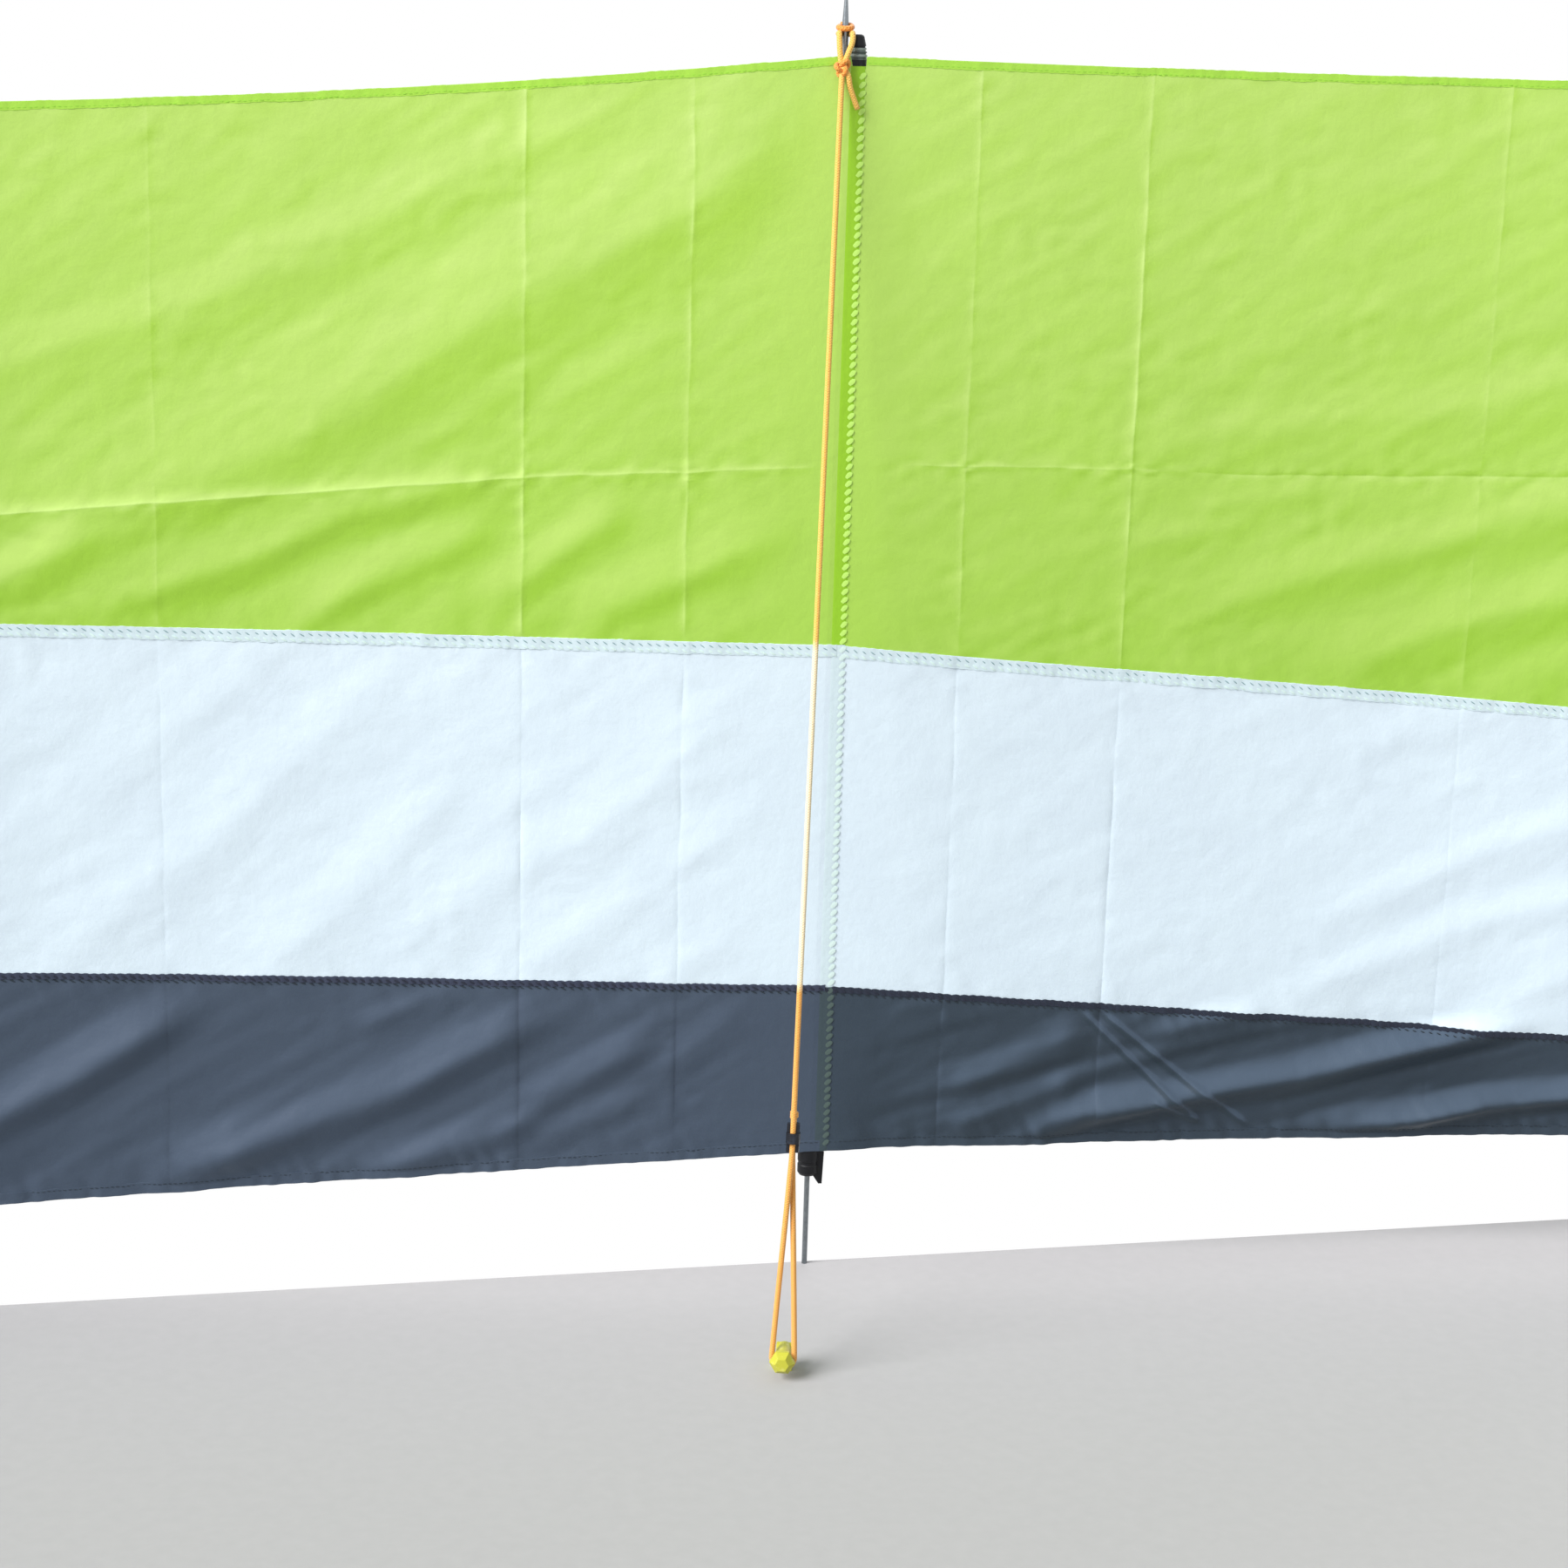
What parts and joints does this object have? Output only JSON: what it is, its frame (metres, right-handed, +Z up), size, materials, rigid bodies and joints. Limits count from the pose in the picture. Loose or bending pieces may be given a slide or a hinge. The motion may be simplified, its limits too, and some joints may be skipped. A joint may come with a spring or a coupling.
{
  "type": "beach windbreak",
  "caption": "Beach windbreak of banded cloth sewn to steel poles in sleeves, each pole with a head spike, a foot ferrule and a taut guy line to a peg.",
  "frame": {"origin": "on the ground under the third pole from the left, at the cut end of its ground pin", "axes": "+Z up, +X to the right along the middle bay, -Y to the front, where the guy lines are"},
  "size_m": [3.692, 0.3256, 1.414],
  "materials": {
    "cloth_green": "lime green woven polyester",
    "cloth_pale": "pale blue-white woven polyester",
    "cloth_slate": "slate grey woven polyester",
    "cloth_sleeve": "the band cloth, folded and stitched",
    "steel": "bright zinc-plated",
    "black_plastic": "moulded, satin",
    "cord": "braided polyester, orange",
    "peg_plastic": "moulded, yellow-green"
  },
  "bodies": {
    "root": {"upper_panel_1": "cloth_green", "upper_panel_2": "cloth_green", "upper_panel_3": "cloth_green", "middle_panel_1": "cloth_pale", "middle_panel_2": "cloth_pale", "middle_panel_3": "cloth_pale", "lower_panel_1": "cloth_slate", "lower_panel_2": "cloth_slate", "lower_panel_3": "cloth_slate", "sleeve_1": "cloth_sleeve", "sleeve_2": "cloth_sleeve", "sleeve_3": "cloth_sleeve", "sleeve_4": "cloth_sleeve", "pole_1": "steel", "pole_2": "steel", "pole_3": "steel", "pole_4": "steel", "head_fitting_1": "black_plastic", "head_fitting_2": "black_plastic", "head_fitting_3": "black_plastic", "head_fitting_4": "black_plastic", "spike_1": "steel", "spike_2": "steel", "spike_3": "steel", "spike_4": "steel", "foot_1": "black_plastic", "foot_2": "black_plastic", "foot_3": "black_plastic", "foot_4": "black_plastic", "ground_pin_1": "steel", "ground_pin_2": "steel", "ground_pin_3": "steel", "ground_pin_4": "steel", "guy_line_1": "cord", "guy_line_2": "cord", "guy_line_3": "cord", "guy_line_4": "cord", "runner_1": "black_plastic", "runner_2": "black_plastic", "runner_3": "black_plastic", "runner_4": "black_plastic", "peg_1": "peg_plastic", "peg_2": "peg_plastic", "peg_3": "peg_plastic", "peg_4": "peg_plastic"}
  },
  "joints": []
}
